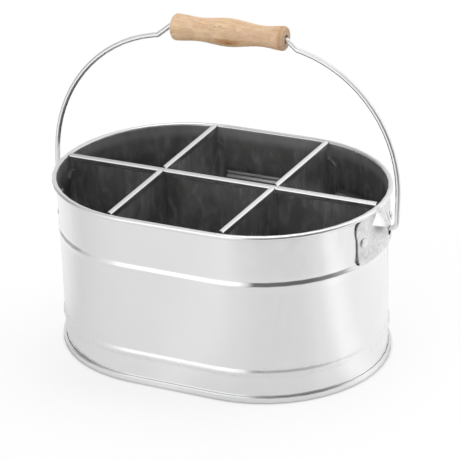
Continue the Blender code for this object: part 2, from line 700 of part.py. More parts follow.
def grip_profile():
    """(radius, along) from the right end's bore edge, over the outside, and back down the bore."""
    bore = WIRE_RADIUS + GRIP_BORE_CLEARANCE
    half = GRIP_LENGTH / 2
    outside = []
    for i in range(GRIP_PROFILE_STEPS + 1):
        along = half * math.cos(math.pi * i / GRIP_PROFILE_STEPS)
        radius = GRIP_RADIUS * swell_share(along / half)
        inset = max(0, GRIP_EDGE_RADIUS - (half - abs(along)))
        radius -= GRIP_EDGE_RADIUS - math.sqrt(GRIP_EDGE_RADIUS**2 - inset**2)
        outside.append((radius, along))
    return [(bore, half)] + outside + [(bore, -half)]


def build_grip(parts, wood):
    grip = turned("wood_grip", grip_profile(), GRIP_SIDES, parts, wood, cyclic=True)
    grip.rotation_euler.y = math.pi / 2 - GRIP_TILT
    grip.location = (SEAT_PLACE + GRIP_SLIDE, 0, SEAT_RISE)
    return grip


def main():
    clear_scene()
    parts = make_collection("bar_caddy")
    make_collection("cutters")
    tinned = make_material("galvanised_sheet", (0.72, 0.72, 0.72), 0.22, 1)
    ear_steel = make_material("ear_steel", (0.68, 0.68, 0.68), 0.35, 1)
    wire_steel = make_material("bright_wire", (0.75, 0.75, 0.75), 0.2, 1)
    wood = make_material("beech", (0.72, 0.5, 0.32), 0.55, 0)
    holes = hole_cutters()
    build_wall(parts, tinned, holes)
    build_base(parts, tinned)
    build_dividers(parts, tinned)
    build_ears(parts, ear_steel, holes)
    build_rivets(parts, ear_steel)
    hinge = bpy.data.objects.new("bail_hinge", None)
    parts.objects.link(hinge)
    hinge.location.z = PIVOT_HEIGHT
    hinge.rotation_euler.x = -BAIL_LEAN
    build_bail(parts, wire_steel).parent = hinge
    build_grip(parts, wood).parent = hinge


main()
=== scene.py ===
"""Dresses the oval steel bar caddy: its materials, the floor, the studio light and the camera."""

import json
import math

import bpy
from mathutils import Matrix, Vector

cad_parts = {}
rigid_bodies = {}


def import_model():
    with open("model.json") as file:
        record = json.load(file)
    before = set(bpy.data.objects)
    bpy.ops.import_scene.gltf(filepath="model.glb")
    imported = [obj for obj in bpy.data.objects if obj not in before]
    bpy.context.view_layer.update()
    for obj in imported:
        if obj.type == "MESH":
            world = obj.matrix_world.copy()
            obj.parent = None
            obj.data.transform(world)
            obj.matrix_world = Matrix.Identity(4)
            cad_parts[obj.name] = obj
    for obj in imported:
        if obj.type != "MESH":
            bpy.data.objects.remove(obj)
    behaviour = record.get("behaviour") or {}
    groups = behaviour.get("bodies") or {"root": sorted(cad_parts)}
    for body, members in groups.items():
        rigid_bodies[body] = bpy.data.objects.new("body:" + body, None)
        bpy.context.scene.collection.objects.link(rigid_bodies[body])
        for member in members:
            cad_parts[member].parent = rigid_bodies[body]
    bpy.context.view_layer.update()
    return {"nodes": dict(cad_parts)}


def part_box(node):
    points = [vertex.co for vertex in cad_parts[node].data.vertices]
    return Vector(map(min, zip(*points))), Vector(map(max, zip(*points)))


for old in list(bpy.data.objects):
    bpy.data.objects.remove(old)

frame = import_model()
NODES = frame["nodes"]
MM = 0.001

# Places on the part, as in its source: heights are from the table, radii from the middle line
END_CENTRE = 39 * MM
LOW_BEAD_HEIGHT = 25.9 * MM
MID_BEAD_HEIGHT = 102.5 * MM
SEAM_RADIUS = 103.8 * MM
EAR_FOOT = 104.3 * MM
EAR_INSIDE = 100.3 * MM
EAR_GAUGE = 1.1 * MM
EAR_STANDOFF = 1.28 * MM
EAR_STANDOFF_HEIGHT = 12 * MM

# Edges sharper than this stay creases
CREASE_ANGLE = math.radians(34)
MERGE_DISTANCE = 0.002 * MM

# Where most of a noise texture's values lie
NOISE_LOW = 0.3
NOISE_HIGH = 0.7


# Node helpers


def new_material(name):
    material = bpy.data.materials.new(name)
    material.use_nodes = True
    return material, material.node_tree, material.node_tree.nodes["Principled BSDF"]


def feed(tree, socket, value):
    """Links a socket to the one given, or sets it to the value given."""
    if isinstance(value, bpy.types.NodeSocket):
        tree.links.new(value, socket)
    else:
        socket.default_value = value


def node(tree, kind, inputs=(), **settings):
    made = tree.nodes.new(kind)
    for key, value in settings.items():
        setattr(made, key, value)
    for key, value in dict(inputs).items():
        feed(tree, made.inputs[key], value)
    return made


def maths(tree, operation, *values, clamp=False):
    made = node(tree, "ShaderNodeMath", operation=operation, use_clamp=clamp)
    for socket, value in zip(made.inputs, values):
        feed(tree, socket, value)
    return made.outputs[0]


def add(tree, total, *values):
    for value in values:
        total = maths(tree, "ADD", total, value)
    return total


def multiply(tree, total, *values):
    for value in values:
        total = maths(tree, "MULTIPLY", total, value)
    return total


def subtract(tree, total, *values):
    for value in values:
        total = maths(tree, "SUBTRACT", total, value)
    return total


def remap(tree, value, low, high, to_low=0.0, to_high=1.0, smooth=False):
    values = {
        "Value": value,
        "From Min": low,
        "From Max": high,
        "To Min": to_low,
        "To Max": to_high,
    }
    kind = "SMOOTHSTEP" if smooth else "LINEAR"
    return node(tree, "ShaderNodeMapRange", values, interpolation_type=kind).outputs[0]


def spread(tree, texture, to_low, to_high):
    """A noise, made to run from one level to another."""
    return remap(tree, texture, NOISE_LOW, NOISE_HIGH, to_low, to_high)


def noise(tree, vector, scale, detail=3.0, roughness=0.5, distortion=0.0):
    values = {
        "Vector": vector,
        "Scale": scale,
        "Detail": detail,
        "Roughness": roughness,
        "Distortion": distortion,
    }
    return node(tree, "ShaderNodeTexNoise", values).outputs["Fac"]


def spangle(tree, vector, scale):
    """A grey for each crystal of the zinc."""
    values = {"Vector": vector, "Scale": scale, "Randomness": 1.0}
    cells = node(tree, "ShaderNodeTexVoronoi", values).outputs["Color"]
    return node(tree, "ShaderNodeSeparateColor", {"Color": cells}).outputs[0]


def stretched(tree, vector, scale, turn=(0, 0, 0)):
    values = {"Vector": vector, "Scale": scale, "Rotation": turn}
    return node(tree, "ShaderNodeMapping", values).outputs[0]


def mix(tree, factor, first, second):
    made = node(tree, "ShaderNodeMix", data_type="RGBA")
    for index, value in ((0, factor), (6, first), (7, second)):
        feed(tree, made.inputs[index], (*value, 1) if isinstance(value, tuple) else value)
    return made.outputs[2]


def grey(value, tint=(1.0, 1.0, 1.0)):
    return tuple(value * t for t in tint)


def bump(tree, height, distance, strength, normal=None):
    values = {"Height": height, "Distance": distance, "Strength": strength}
    if normal:
        values["Normal"] = normal
    return node(tree, "ShaderNodeBump", values).outputs[0]


# Vector helpers


def object_place(tree):
    return node(tree, "ShaderNodeTexCoord").outputs["Object"]


def parts_of(tree, vector):
    return node(tree, "ShaderNodeSeparateXYZ", {"Vector": vector}).outputs


def absolute(tree, value):
    return maths(tree, "ABSOLUTE", value)


def vector_maths(tree, operation, *vectors, output="Vector"):
    made = node(tree, "ShaderNodeVectorMath", dict(enumerate(vectors)), operation=operation)
    return made.outputs[output]


def length_of(tree, vector):
    return vector_maths(tree, "LENGTH", vector, output="Value")


def surface(tree, kind="Normal"):
    return node(tree, "ShaderNodeNewGeometry").outputs[kind]


def toward(tree, share, normal, other):
    """The normal turned by a share of the way toward another one."""
    made = node(tree, "ShaderNodeMix", {"Factor": share, 4: normal, 5: other}, data_type="VECTOR")
    return vector_maths(tree, "NORMALIZE", made.outputs[1])


def from_middle_line(tree, place):
    """The level spoke from the body's middle line to a place on it."""
    x, y, _ = parts_of(tree, place)
    middle = maths(tree, "MINIMUM", maths(tree, "MAXIMUM", x, -END_CENTRE), END_CENTRE)
    return node(tree, "ShaderNodeCombineXYZ", {"X": subtract(tree, x, middle), "Y": y}).outputs[0]


def outward(tree, place):
    """The level direction that points straight out of the body."""
    return vector_maths(tree, "NORMALIZE", from_middle_line(tree, place))


def facing_out(tree, place):
    """How far a surface faces away from the body's middle line: 1 out, -1 in, 0 edge on."""
    face = surface(tree, "True Normal")
    return vector_maths(tree, "DOT_PRODUCT", outward(tree, place), face, output="Value")


# Zinc sheet. Noises are a scale, a detail, a roughness and a distortion; ranges are two places or
# levels between which a mark fades in, and the two levels that it fades between.

SHEET_WAVES = (24, 2, 0.45)
SHEET_STREAKS = (190, 3, 0.55)
SHEET_CLOUDS = (22, 5, 0.62, 0.6)
SHEET_SMEARS = (55, 4, 0.6, 1.2)
SHEET_SCUFFS = (95, 4, 0.62, 1.0)
SHEET_GRAIN = (1500, 2, 0.5)
SHEET_SPANGLE_SCALE = 95
UPRIGHT_STRETCH = (1, 1, 0.1)
SMEAR_STRETCH = (1, 1, 0.45)
SCUFF_STRETCH = (1, 1, 0.4)

BRIGHT_ZINC = (grey(0.84, (0.99, 0.998, 1.0)), grey(0.96, (1.0, 1.0, 0.995)))
# The inside's two greys are painted shade
INSIDE_SHADE_ZINC = (grey(0.38), grey(0.74))
# Painted light for the inside, near the mid bead and under the rim
INSIDE_PAINTED_LIGHT_ZINC = grey(0.9)
# Painted shade for the rim's inward side
RIM_INSIDE_SHADE_ZINC = grey(0.66)
SHADED_ZINC = grey(0.5)
# Painted shade for the hems' open ends and the ears' edges
EDGE_SHADE_ZINC = grey(0.05)

# Brightness of the outside, from the middle of its two greys
MIDDLE_TONE = 0.5
CLOUD_TONE = 0.05
STREAK_TONE = 0.03
SPANGLE_TONE = 0.012

# Brightness of the smudges in the inside's painted shade
INSIDE_CLOUD_MIX = (0.25, 0.7)
INSIDE_SMEAR_MIX = (0.4, 0.75, -0.1, 0.35)
INSIDE_SCUFF_MIX = (0.5, 0.72, -0.15, 0.6)

# The inside's painted shade ends under the dividers' hems, and in the rim's neck where that faces
# in
INSIDE_RANGE = (142.1 * MM, 140.9 * MM)
FACING_IN = (-0.1, -0.3)
NECK_RANGE = (145.8 * MM, 145.0 * MM)
NECK_FACING_IN = (-0.7, -0.9)
# Where the bright sheet faces in, mostly on the rim's inner side, it gets painted shade
RIM_FACING_IN = (-0.2, -0.6)

# Painted light inside, at the mid bead and under the rim; painted shade along the hems and on
# their open ends
BEAD_PAINTED_LIGHT = (4.5 * MM, 2.5 * MM)
RIM_PAINTED_LIGHT = (132 * MM, 140 * MM, 0.0, 0.7)
SHADE_ALONG_HEM = (-130 * MM, 60 * MM, 0.5, 0.0)
HEM_END_FACING = 0.93

# Roughness
SHEET_ROUGHNESS = (0.35, 0.75, 0.16, 0.26)
SPANGLE_ROUGHNESS = 0.015
INSIDE_ROUGHNESS = 0.22
LOW_BEAD_ROUGHNESS = (8 * MM, 3 * MM, 0.0, 0.08)
MID_BEAD_ROUGHNESS = (8 * MM, 4 * MM, 0.0, -0.1)

# The low bead is shallower on the round ends
SHALLOW_BEAD = (9 * MM, 6 * MM)
SHALLOW_ALONG = (END_CENTRE + 20 * MM, END_CENTRE + 42 * MM, 0.0, 0.38)
SHALLOW_FACING_OUT = (0.3, 0.5)

# Bumps are a height and a strength
WAVE_BUMP = (0.35 * MM, 0.5)
STREAK_BUMP = (0.012 * MM, 0.5)
GRAIN_BUMP = (0.002 * MM, 0.4)


def zinc_sheet(name, end_axis=None):
    """Bright zinc-coated sheet, with painted shade inside the body.

    A divider's gives the axis that its hem's open ends face, and the body's gives none.
    """
    material, tree, shader = new_material(name)
    is_body = end_axis is None
    place = object_place(tree)
    along, _, height = parts_of(tree, place)
    from_mid_bead = absolute(tree, subtract(tree, height, MID_BEAD_HEIGHT))
    from_low_bead = absolute(tree, subtract(tree, height, LOW_BEAD_HEIGHT))
    inside = remap(tree, height, *INSIDE_RANGE)
    if is_body:
        facing = facing_out(tree, place)
        inside = multiply(tree, inside, remap(tree, facing, *FACING_IN))
        neck = remap(tree, height, *NECK_RANGE)
        neck = multiply(tree, neck, remap(tree, facing, *NECK_FACING_IN))
        inside = maths(tree, "MAXIMUM", inside, neck)

    upright = stretched(tree, place, UPRIGHT_STRETCH)
    waves = noise(tree, upright, *SHEET_WAVES)
    streaks = noise(tree, upright, *SHEET_STREAKS)
    clouds = noise(tree, place, *SHEET_CLOUDS)
    smears = noise(tree, stretched(tree, place, SMEAR_STRETCH), *SHEET_SMEARS)
    scuffs = noise(tree, stretched(tree, place, SCUFF_STRETCH), *SHEET_SCUFFS)
    grain = noise(tree, place, *SHEET_GRAIN)
    cells = spangle(tree, place, SHEET_SPANGLE_SCALE)

    tone = add(
        tree,
        spread(tree, clouds, -CLOUD_TONE, CLOUD_TONE),
        spread(tree, streaks, -STREAK_TONE, STREAK_TONE),
        remap(tree, cells, 0, 1, -SPANGLE_TONE, SPANGLE_TONE),
        MIDDLE_TONE,
    )
    bright = mix(tree, tone, *BRIGHT_ZINC)
    inside_smudges = add(
        tree,
        spread(tree, clouds, *INSIDE_CLOUD_MIX),
        remap(tree, smears, *INSIDE_SMEAR_MIX),
        remap(tree, scuffs, *INSIDE_SCUFF_MIX),
    )
    # Painted shade inside the body, with smudges in it
    inside_shade = mix(tree, inside_smudges, *INSIDE_SHADE_ZINC)
    if is_body:
        # Painted light inside, near the mid bead and under the rim
        painted_light = remap(tree, from_mid_bead, *BEAD_PAINTED_LIGHT, smooth=True)
        painted_light = maths(tree, "MAXIMUM", painted_light, remap(tree, height, *RIM_PAINTED_LIGHT, smooth=True))
        inside_shade = mix(tree, painted_light, inside_shade, INSIDE_PAINTED_LIGHT_ZINC)
        # Painted shade where the sheet faces in, on the rim's inner side
        bright = mix(tree, remap(tree, facing, *RIM_FACING_IN), bright, RIM_INSIDE_SHADE_ZINC)
    else:
        bright = mix(tree, remap(tree, along, *SHADE_ALONG_HEM), bright, SHADED_ZINC)
        # Painted shade on the hem's open ends
        end_on = absolute(tree, parts_of(tree, surface(tree, "True Normal"))[end_axis])
        at_end = maths(tree, "GREATER_THAN", end_on, HEM_END_FACING)
        bright = mix(tree, at_end, bright, EDGE_SHADE_ZINC)
    tree.links.new(mix(tree, inside, bright, inside_shade), shader.inputs["Base Color"])

    rough = add(
        tree,
        remap(tree, smears, *SHEET_ROUGHNESS),
        remap(tree, cells, 0, 1, -SPANGLE_ROUGHNESS, SPANGLE_ROUGHNESS),
        multiply(tree, inside, INSIDE_ROUGHNESS),
    )
    normal = surface(tree)
    if is_body:
        rough = add(
            tree,
            rough,
            remap(tree, from_low_bead, *LOW_BEAD_ROUGHNESS, smooth=True),
            remap(tree, from_mid_bead, *MID_BEAD_ROUGHNESS, smooth=True),
        )
        shallow = multiply(
            tree,
            remap(tree, from_low_bead, *SHALLOW_BEAD, smooth=True),
            remap(tree, absolute(tree, along), *SHALLOW_ALONG, smooth=True),
            remap(tree, facing, *SHALLOW_FACING_OUT),
        )
        normal = toward(tree, shallow, normal, outward(tree, place))
    tree.links.new(rough, shader.inputs["Roughness"])
    shader.inputs["Metallic"].default_value = 1.0
    for height_map, depth in ((waves, WAVE_BUMP), (streaks, STREAK_BUMP), (grain, GRAIN_BUMP)):
        normal = bump(tree, height_map, *depth, normal)
    tree.links.new(normal, shader.inputs["Normal"])
    return material


# Ears

EAR_MOTTLE = (260, 4, 0.6, 0.8)
EAR_BLOTCH = (90, 3, 0.55, 0.5)
EAR_FINE = (1800, 2, 0.5)
EAR_SPANGLE_SCALE = 420
EAR_ZINC = (grey(0.6), grey(0.98))
# Painted shade under the nose's crease
CREASE_SHADE_ZINC = grey(0.3)
# Painted highlight on the nose's pressed flat
PRESSED_HIGHLIGHT_ZINC = grey(0.97)
MOTTLE_TONE = 0.25
BLOTCH_TONE = (0.25, 0.75)
EAR_SPANGLE_TONE = 0.1
EAR_ROUGHNESS = (0.24, 0.4)
MOTTLE_BUMP = (0.1 * MM, 0.6)
EAR_FINE_BUMP = (0.008 * MM, 0.5)

# An edge faces sideways; its painted shade line lies in the outer part of the gauge
EDGE_SHADE_FACING = (0.45, 0.25)
EDGE_SHADE_FROM = (0.35, 0.5)
EDGE_SHADE_TO = (0.75, 0.6)

# The pressed flat on the nose: slopes from the ear's middle, and heights in it
CREASE_LINE = (0.43, 125.9 * MM)
FLANK_LINE = (-1.1, 152.5 * MM)
RIDGE_LINE = (0.92, 134.3 * MM)
TOP_ROUNDING = 3 * MM
CREASE_ROUNDING = 2 * MM
PRESSED_EDGE = (-0.6 * MM, 0.6 * MM)
PRESSED_FACE = (0.634, 0.289, 0.718)
PRESSED_FACING_OUT = (0.2, 0.4)

# The painted shade strip under the crease: its top, foot, outer end, inner end and strength
CREASE_SHADE_TOP = (-0.2 * MM, -0.9 * MM)
CREASE_SHADE_FOOT = (-6.5 * MM, -2.5 * MM)
CREASE_SHADE_OUTER_END = (17 * MM, 13 * MM)
CREASE_SHADE_INNER_END = (5 * MM, 9 * MM)
CREASE_SHADE_SHARE = 0.65


def ear_zinc():
    """Pressed ear plate: duller zinc with coarse mottling, with painted shade at its edge.

    The nose's upper flanks are pressed flat, with a painted highlight, and with a crease and a
    strip of painted shade under them.
    """
    material, tree, shader = new_material("ear_zinc")
    place = object_place(tree)
    x, y, height = parts_of(tree, place)
    mottle = noise(tree, place, *EAR_MOTTLE)
    blotch = noise(tree, place, *EAR_BLOTCH)
    fine = noise(tree, place, *EAR_FINE)
    cells = spangle(tree, place, EAR_SPANGLE_SCALE)
    tone = add(
        tree,
        spread(tree, mottle, -MOTTLE_TONE, MOTTLE_TONE),
        spread(tree, blotch, *BLOTCH_TONE),
    )
    cell_tone = remap(tree, cells, 0, 1, -EAR_SPANGLE_TONE, EAR_SPANGLE_TONE)
    face = mix(tree, maths(tree, "ADD", tone, cell_tone, clamp=True), *EAR_ZINC)

    rise = remap(tree, height, EAR_FOOT, EAR_FOOT + EAR_STANDOFF_HEIGHT, 0, math.pi)
    standoff = remap(tree, maths(tree, "COSINE", rise), -1, 1, 0, EAR_STANDOFF)
    radius = subtract(tree, length_of(tree, from_middle_line(tree, place)), standoff)
    through = remap(tree, radius, EAR_INSIDE, EAR_INSIDE + EAR_GAUGE)
    facing = facing_out(tree, place)
    # Painted shade along the ear's edge
    painted_edge_shade = multiply(
        tree,
        remap(tree, absolute(tree, facing), *EDGE_SHADE_FACING),
        remap(tree, through, *EDGE_SHADE_FROM),
        remap(tree, through, *EDGE_SHADE_TO),
    )

    aside = absolute(tree, y)
    crease_line, flank_line, ridge_line = (
        maths(tree, "MULTIPLY_ADD", aside, slope, start)
        for slope, start in (CREASE_LINE, FLANK_LINE, RIDGE_LINE)
    )
    over_crease = subtract(tree, height, crease_line)
    under_flank = subtract(tree, flank_line, height)
    under_ridge = subtract(tree, ridge_line, height)
    within = maths(tree, "SMOOTH_MIN", under_flank, under_ridge, TOP_ROUNDING)
    within = maths(tree, "SMOOTH_MIN", within, over_crease, CREASE_ROUNDING)
    pressed = remap(tree, within, *PRESSED_EDGE, smooth=True)
    # Painted shade in a strip under the crease
    painted_crease_shade = multiply(
        tree,
        remap(tree, over_crease, *CREASE_SHADE_TOP),
        remap(tree, over_crease, *CREASE_SHADE_FOOT),
        remap(tree, aside, *CREASE_SHADE_OUTER_END),
        remap(tree, aside, *CREASE_SHADE_INNER_END),
        CREASE_SHADE_SHARE,
    )
    face = mix(tree, painted_crease_shade, face, CREASE_SHADE_ZINC)
    # Painted highlight on the pressed flat
    face = mix(tree, pressed, face, PRESSED_HIGHLIGHT_ZINC)
    tree.links.new(mix(tree, painted_edge_shade, face, EDGE_SHADE_ZINC), shader.inputs["Base Color"])
    tree.links.new(spread(tree, mottle, *EAR_ROUGHNESS), shader.inputs["Roughness"])
    shader.inputs["Metallic"].default_value = 1.0

    out_x, out_y, up = PRESSED_FACE
    pressed_face = {
        "X": multiply(tree, maths(tree, "SIGN", x), out_x),
        "Y": multiply(tree, maths(tree, "SIGN", y), out_y),
        "Z": up,
    }
    normal = toward(
        tree,
        multiply(tree, pressed, remap(tree, facing, *PRESSED_FACING_OUT)),
        surface(tree),
        node(tree, "ShaderNodeCombineXYZ", pressed_face).outputs[0],
    )
    normal = bump(tree, mottle, *MOTTLE_BUMP, normal)
    tree.links.new(bump(tree, fine, *EAR_FINE_BUMP, normal), shader.inputs["Normal"])
    return material


# Wire and rivets

WIRE_PATCHES = (70, 3, 0.55)
WIRE_FINE = (1400, 3, 0.6)
WIRE_STEEL = (grey(0.8), grey(0.96))
WIRE_ROUGHNESS = (0.3, 0.42)
WIRE_BUMP = (0.01 * MM, 0.5)
HEAD_FACING_OUT = (0.55, 0.8)
RIVET_HEAD_FLATNESS = 0.8


def drawn_wire(name, head_flatness=0.0):
    """Bright drawn wire with a fine grain; a rivet's head is nearly flat."""
    material, tree, shader = new_material(name)
    place = object_place(tree)
    patches = noise(tree, place, *WIRE_PATCHES)
    fine = noise(tree, place, *WIRE_FINE)
    tree.links.new(mix(tree, patches, *WIRE_STEEL), shader.inputs["Base Color"])
    tree.links.new(spread(tree, fine, *WIRE_ROUGHNESS), shader.inputs["Roughness"])
    shader.inputs["Metallic"].default_value = 1.0
    normal = surface(tree)
    if head_flatness:
        facing = facing_out(tree, place)
        share = remap(tree, facing, *HEAD_FACING_OUT, 0.0, head_flatness, smooth=True)
        normal = toward(tree, share, normal, outward(tree, place))
    tree.links.new(bump(tree, fine, *WIRE_BUMP, normal), shader.inputs["Normal"])
    return material


# Beech. Each noise has a stretch along the grain, and then the settings of any noise.

WOOD_NOISES = {
    "warp": (0.6, 60, 3, 0.55, 0.6),
    "fibre": (0.09, 700, 4, 0.65, 0.3),
    "fleck": (0.25, 480, 2, 0.5),
    "patch": (0.35, 230, 3, 0.6, 0.8),
    "hue": (0.5, 120, 2, 0.5),
}
RING_STRETCH = (0.3, 1, 1)
RING_TURN = (0.5, 0.05, 0.09)
RING_WAVE = {
    "Scale": 60,
    "Distortion": 9.0,
    "Detail": 3.0,
    "Detail Scale": 1.0,
    "Detail Roughness": 0.6,
}
WOOD_LIGHT = (0.97, 0.68, 0.41)
WOOD_BROWN = (0.46, 0.28, 0.16)
# Laid over the light wood in turn: a texture, its range, the most that it covers, and its colour
WOOD_LAYERS = (
    ("rings", 0.1, 0.95, 0.4, (0.89, 0.57, 0.32)),
    ("warp", 0.42, 0.72, 0.6, (0.72, 0.46, 0.27)),
    ("hue", 0.4, 0.6, 0.5, (0.93, 0.62, 0.43)),
    ("patch", 0.5, 0.66, 0.4, (0.70, 0.42, 0.22)),
    ("patch", 0.47, 0.34, 0.45, (1.0, 0.80, 0.57)),
    ("fibre", 0.5, 0.8, 0.45, WOOD_BROWN),
    ("fleck", 0.62, 0.72, 0.5, WOOD_BROWN),
)

# The knot under the belly, from the grip's middle, with a ragged edge and a dark core
KNOT_PLACE = (2.4 * MM, -10.6 * MM, -5.2 * MM)
KNOT_STRETCH = (0.3, 1, 1)
KNOT_RAGGEDNESS = 1.4 * MM
KNOT_EDGE = (4.8 * MM, 1.8 * MM, 0.0, 0.8)
KNOT_COLOUR = (0.60, 0.27, 0.10)
CORE_LEAN = (-2.5 * MM, 1 * MM, -1.2 * MM, 1.2 * MM)
CORE_EDGE = (2.4 * MM, 0.6 * MM, 0.0, 0.7)
CORE_COLOUR = (0.30, 0.15, 0.075)

# The turned ends, measured in from the tip, and the burnished ring near the right one
END_FACE = (1.2 * MM, 0.2 * MM)
END_SHARE = 0.6
END_COLOUR = (0.64, 0.49, 0.37)
PORES = (1500, 3, 0.6)
PORE_RANGE = (0.45, 0.7, 0.0, 0.6)
PORE_COLOUR = (0.2, 0.11, 0.06)
RING_INNER_EDGE = (5 * MM, 3 * MM)
RING_OUTER_EDGE = (0.8 * MM, 1.8 * MM)
RING_SHARE = 0.55
RING_COLOUR = (0.56, 0.29, 0.12)

FIBRE_ROUGHNESS = (0.42, 0.56)
END_ROUGHNESS = 0.2
VARNISH_WEIGHT = 0.12
VARNISH_ROUGHNESS = 0.3
FIBRE_BUMP = (0.05 * MM, 0.6)
RING_BUMP = (0.06 * MM, 0.35)


def beech():
    """Turned beech: long grain, short ray flecks, a knot under the belly, thin varnish."""
    material, tree, shader = new_material("turned_beech")
    low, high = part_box("wood_grip")
    centre = (Vector(low) + Vector(high)) / 2
    half = (high[0] - low[0]) / 2
    moved = vector_maths(tree, "ADD", object_place(tree), tuple(-centre))
    textures = {
        name: noise(tree, stretched(tree, moved, (stretch, 1, 1)), *settings)
        for name, (stretch, *settings) in WOOD_NOISES.items()
    }
    grain_place = stretched(tree, moved, RING_STRETCH, RING_TURN)
    wave = node(
        tree, "ShaderNodeTexWave", {"Vector": grain_place, **RING_WAVE}, bands_direction="Z"
    )
    textures["rings"] = wave.outputs["Fac"]
    colour = WOOD_LIGHT
    for name, start, end, most, layer in WOOD_LAYERS:
        colour = mix(tree, remap(tree, textures[name], start, end, 0.0, most), colour, layer)

    to_knot = vector_maths(tree, "SUBTRACT", moved, KNOT_PLACE)
    reach = length_of(tree, stretched(tree, to_knot, KNOT_STRETCH))
    ragged = spread(tree, textures["patch"], -KNOT_RAGGEDNESS, KNOT_RAGGEDNESS)
    ragged = add(tree, reach, ragged)
    colour = mix(tree, remap(tree, ragged, *KNOT_EDGE, smooth=True), colour, KNOT_COLOUR)
    core = add(tree, ragged, remap(tree, parts_of(tree, to_knot)[2], *CORE_LEAN))
    colour = mix(tree, remap(tree, core, *CORE_EDGE, smooth=True), colour, CORE_COLOUR)

    to_right = parts_of(tree, moved)[0]

    def from_tip(value, edge):
        return remap(tree, value, *(half - place for place in edge), smooth=True)

    ring = multiply(
        tree,
        from_tip(to_right, RING_INNER_EDGE),
        from_tip(to_right, RING_OUTER_EDGE),
        RING_SHARE,
    )
    colour = mix(tree, ring, colour, RING_COLOUR)
    end = from_tip(absolute(tree, to_right), END_FACE)
    colour = mix(tree, multiply(tree, end, END_SHARE), colour, END_COLOUR)
    pores = multiply(tree, end, remap(tree, noise(tree, moved, *PORES), *PORE_RANGE))
    colour = mix(tree, pores, colour, PORE_COLOUR)
    tree.links.new(colour, shader.inputs["Base Color"])

    rough = spread(tree, textures["fibre"], *FIBRE_ROUGHNESS)
    rough = add(tree, rough, multiply(tree, end, END_ROUGHNESS))
    tree.links.new(rough, shader.inputs["Roughness"])
    shader.inputs["Coat Weight"].default_value = VARNISH_WEIGHT
    shader.inputs["Coat Roughness"].default_value = VARNISH_ROUGHNESS
    normal = bump(tree, textures["fibre"], *FIBRE_BUMP)
    normal = bump(tree, textures["rings"], *RING_BUMP, normal)
    tree.links.new(normal, shader.inputs["Normal"])
    return material


# Smoothing


def smooth_group():
    """Joins the facets' loose corners and shades them smooth, with creases kept sharp."""
    group = bpy.data.node_groups.new("smooth_facets", "GeometryNodeTree")
    for way in ("INPUT", "OUTPUT"):
        group.interface.new_socket("Geometry", in_out=way, socket_type="NodeSocketGeometry")
    start = group.nodes.new("NodeGroupInput").outputs[0]
    drop = node(
        group, "GeometryNodeRemoveAttribute", {"Geometry": start, "Name": "custom_normal"}
    )
    joined = {"Geometry": drop.outputs[0], "Distance": MERGE_DISTANCE}
    merge = node(group, "GeometryNodeMergeByDistance", joined)
    smooth = {"Geometry": merge.outputs[0]}
    faces = node(group, "GeometryNodeSetShadeSmooth", smooth, domain="FACE")
    angle = node(group, "GeometryNodeInputMeshEdgeAngle").outputs[0]
    soft = {0: angle, 1: CREASE_ANGLE}
    below = node(group, "FunctionNodeCompare", soft, data_type="FLOAT", operation="LESS_THAN")
    edges = node(
        group,
        "GeometryNodeSetShadeSmooth",
        {"Geometry": faces.outputs[0], "Shade Smooth": below.outputs[0]},
        domain="EDGE",
    )
    end = group.nodes.new("NodeGroupOutput")
    group.links.new(edges.outputs[0], end.inputs[0])
    return group


def dress(material, *names):
    for name in names:
        obj = NODES[name]
        obj.data.materials.clear()
        obj.data.materials.append(material)


X_AXIS = 0
Y_AXIS = 1
RIVETS = ("rivet_left_front", "rivet_left_back", "rivet_right_front", "rivet_right_back")

dress(zinc_sheet("zinc_body"), "wall_band", "base_pan")
dress(zinc_sheet("zinc_long_divider", X_AXIS), "long_divider")
dress(zinc_sheet("zinc_cross_divider", Y_AXIS), "cross_divider_left", "cross_divider_right")
dress(ear_zinc(), "ear_left", "ear_right")
dress(drawn_wire("drawn_wire"), "bail_wire")
dress(drawn_wire("rivet_wire", RIVET_HEAD_FLATNESS), *RIVETS)
dress(beech(), "wood_grip")

SMOOTH = smooth_group()
for obj in NODES.values():
    obj.modifiers.new("smooth_facets", "NODES").node_group = SMOOTH
    weighted = obj.modifiers.new("flat_faces_stay_flat", "WEIGHTED_NORMAL")
    weighted.keep_sharp = True


# Floor. A ring gives levels by the direction in plan, as pairs of degrees from +X and a level.

# The floor near the caddy, as the metal mirrors it: painted pools of light, seen only in
# reflections
FLOOR_PATCHES = (
    (-158, 0.72), (-129, 0.8), (-113, 0.82), (-95, 0.9), (-78, 0.8), (-60, 0.74),
    (-36, 0.75), (-22, 0.86), (-9, 1.14), (8, 1.0), (40, 1.06), (60, 1.08),
    (80, 0.98), (100, 0.88), (120, 0.82), (140, 0.9), (156, 1.06), (174, 0.97),
)
# The room low down and high up
LOW_RING = (
    (-172, 0.36), (-160, 0.6), (-146, 0.75), (-134, 0.85), (-118, 1.25), (-92, 1.25),
    (-84, 0.8), (-76, 0.16), (-30, 0.14), (-10, 0.22), (4, 0.4), (16, 0.9), (30, 1.1),
    (48, 1.1), (75, 0.9), (95, 0.82), (120, 0.78), (145, 0.75), (166, 0.4),
)
HIGH_RING = (
    (-150, 0.7), (-110, 0.9), (-60, 0.7), (-30, 0.45), (-10, 0.6), (10, 1.1),
    (30, 1.3), (60, 1.0), (95, 0.85), (125, 0.65), (170, 0.6),
)
# Painted shadow: how much darker the floor is to the camera, close to the body
NEAR_SHADE = (
    (-170, 0), (-148, 0.03), (-124, 0.06), (-100, 0.045), (-75, 0.03), (-50, 0.01),
    (120, 0), (160, 0),
)

# Lengths in metres
FLOOR_HALF = 4
FLOOR_DROP = 0.05 * MM
FLOOR_ALBEDO = 0.88
FLOOR_ROUGHNESS = 0.9
# The mirrored floor turns into the room's low ring between these distances from the middle
ROOM_RANGE = (0.44, 0.6)
